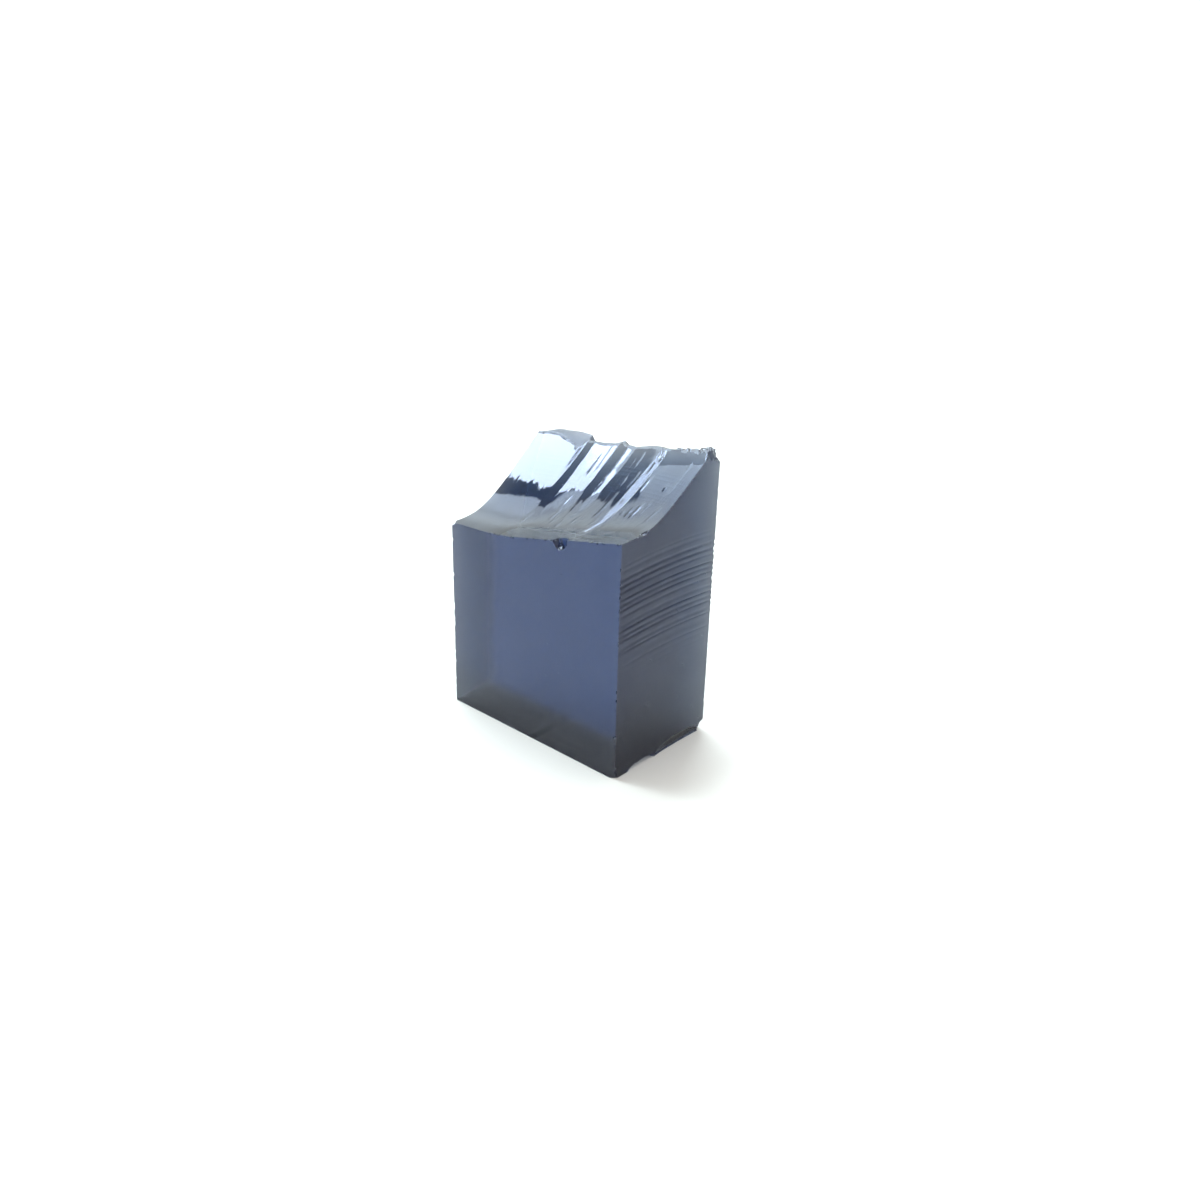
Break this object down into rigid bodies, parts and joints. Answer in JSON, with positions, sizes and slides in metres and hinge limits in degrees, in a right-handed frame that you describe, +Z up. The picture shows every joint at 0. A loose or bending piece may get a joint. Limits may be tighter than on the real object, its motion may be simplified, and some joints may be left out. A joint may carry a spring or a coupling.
{
  "type": "rough alexandrite block",
  "caption": "Sawn block of rough alexandrite, flat sided, with a glossy curved fracture on top that climbs from a low front lip to a ragged back crest.",
  "frame": {"origin": "centre of the sawn base, on the surface the block stands on", "axes": "+Z up to the crest, -Y out of the wide front face, +X out of the saw-marked side"},
  "size_m": [0.015, 0.0092, 0.02],
  "materials": {
    "alexandrite": "satin where sawn, glossy where broken"
  },
  "bodies": {
    "root": {"alexandrite_block": "alexandrite"}
  },
  "joints": []
}
